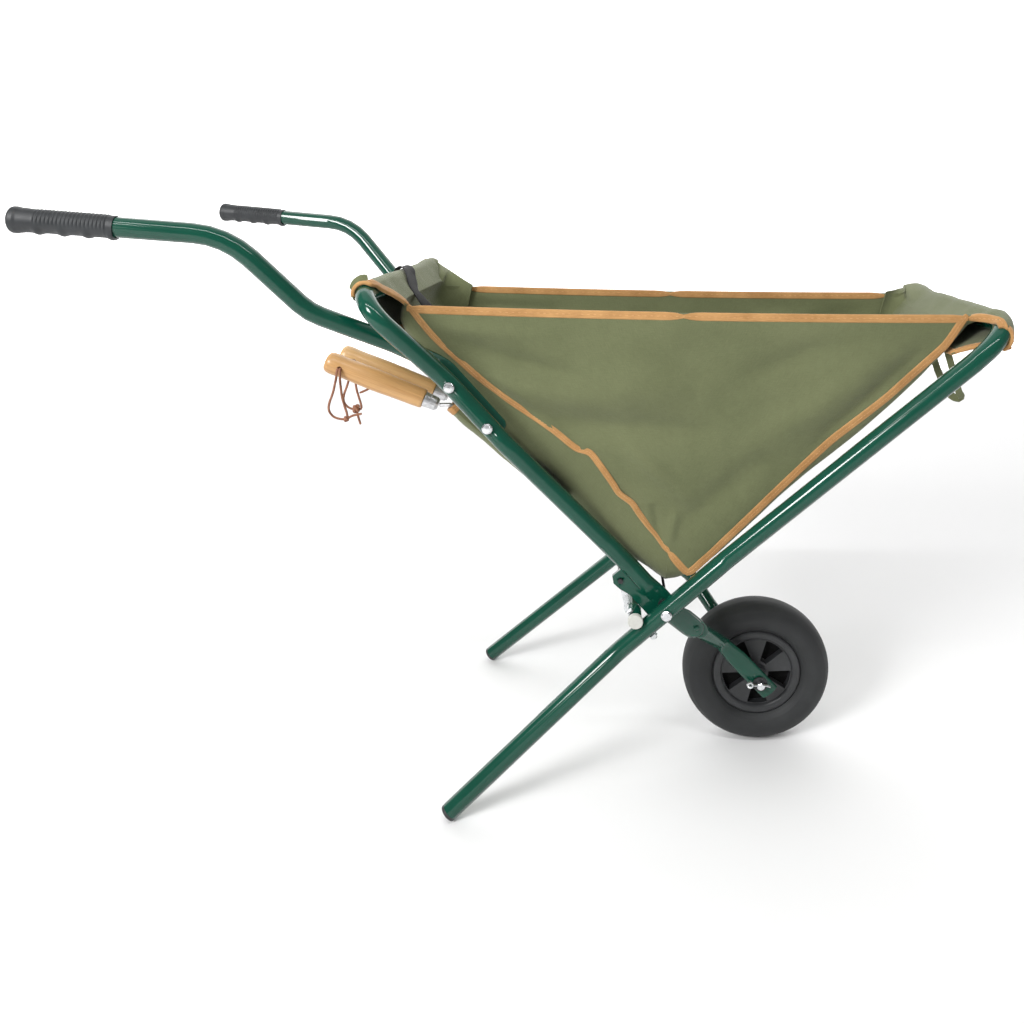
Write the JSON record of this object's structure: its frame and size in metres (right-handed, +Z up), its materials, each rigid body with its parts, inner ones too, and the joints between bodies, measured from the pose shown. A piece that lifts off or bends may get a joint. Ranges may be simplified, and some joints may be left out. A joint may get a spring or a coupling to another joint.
{
  "type": "wheelbarrow",
  "caption": "Folding wheelbarrow: crossed tube frames on a pivot, a canvas bag slung between them, a small solid-tyred wheel, bent handles with rubber grips and a rear pocket for hand tools.",
  "frame": {"origin": "on the ground, under the centre of the bounding box", "axes": "+X forward towards the wheel, +Z up, +Y to the left of a person pushing it"},
  "size_m": [1.0794, 0.5082, 0.7339],
  "materials": {
    "frame_paint": "gloss",
    "bright_steel": "bright zinc",
    "tool_steel": "satin",
    "black_steel": "satin",
    "grip_rubber": "matte",
    "tyre_rubber": "matte",
    "wheel_plastic": "satin",
    "bar_cap_plastic": "satin",
    "canvas": "woven",
    "handle_wood": "varnished",
    "thong_leather": "matte"
  },
  "bodies": {
    "wheel_frame": {"rear_frame": "frame_paint", "handle_right": "frame_paint", "handle_left": "frame_paint", "grip_right": "grip_rubber", "grip_left": "grip_rubber", "handle_bolt_right_upper": "bright_steel", "handle_bolt_right_lower": "bright_steel", "handle_bolt_left_upper": "bright_steel", "handle_bolt_left_lower": "bright_steel", "fork_right": "frame_paint", "fork_left": "frame_paint", "fork_rivet_right": "bright_steel", "fork_rivet_left": "bright_steel", "axle": "bright_steel", "axle_washer_right": "bright_steel", "axle_washer_left": "bright_steel", "split_pin_right": "bright_steel", "split_pin_left": "bright_steel", "rear_sleeve": "canvas", "bag_rear_panel": "canvas", "bag_bottom": "canvas", "bag_side_right": "canvas", "bag_side_left": "canvas", "tool_pocket": "canvas", "catch_spring_right": "black_steel", "catch_spring_left": "black_steel"},
    "leg_frame": {"leg_frame": "frame_paint", "foot_plug_right": "wheel_plastic", "foot_plug_left": "wheel_plastic", "cross_bar": "frame_paint", "bar_cap_right": "bar_cap_plastic", "bar_cap_left": "bar_cap_plastic", "bar_bolt_right": "bright_steel", "bar_bolt_left": "bright_steel", "pivot_bolt_right": "bright_steel", "pivot_bolt_left": "bright_steel", "pivot_washer_right": "black_steel", "pivot_washer_left": "black_steel", "front_sleeve": "canvas", "bag_front_panel": "canvas"},
    "wheel": {"tyre": "tyre_rubber", "rim": "wheel_plastic", "hub_bush_right": "wheel_plastic", "hub_bush_left": "wheel_plastic"},
    "catch": {"catch_rod": "black_steel", "catch_hook_right": "bright_steel", "catch_hook_left": "bright_steel"},
    "trowel": {"trowel_ferrule": "tool_steel", "trowel_handle": "handle_wood", "trowel_blade": "tool_steel", "trowel_thong": "thong_leather"},
    "hand_fork": {"hand_fork_ferrule": "tool_steel", "hand_fork_handle": "handle_wood", "hand_fork_blade": "tool_steel", "hand_fork_thong": "thong_leather"}
  },
  "joints": [
    {"name": "fold", "type": "hinge", "parent": "wheel_frame", "child": "leg_frame", "pos_m": [0.14872, 0, 0.251], "axis": [0, -1, 0], "range_deg": [0, 70], "deforming": ["bag_side_right", "bag_side_left", "catch_hook_right", "catch_hook_left"]},
    {"name": "wheel_spin", "type": "hinge", "parent": "wheel_frame", "child": "wheel", "pos_m": [0.28231, 0, 0.1], "axis": [0, 1, 0], "continuous": true},
    {"name": "catch_swing", "type": "hinge", "parent": "wheel_frame", "child": "catch", "pos_m": [0.0943, 0, 0.28217], "axis": [0, 1, 0], "range_deg": [0, 45], "stiffness_Nm_per_rad": 0.05, "springref_deg": -28.65, "deforming": ["catch_spring_right", "catch_spring_left"]},
    {"name": "trowel_slide", "type": "slide", "parent": "wheel_frame", "child": "trowel", "axis": [-0.6626, 0, 0.749], "range_m": [0, 0.15]},
    {"name": "hand_fork_slide", "type": "slide", "parent": "wheel_frame", "child": "hand_fork", "axis": [-0.6626, 0, 0.749], "range_m": [0, 0.15]}
  ]
}
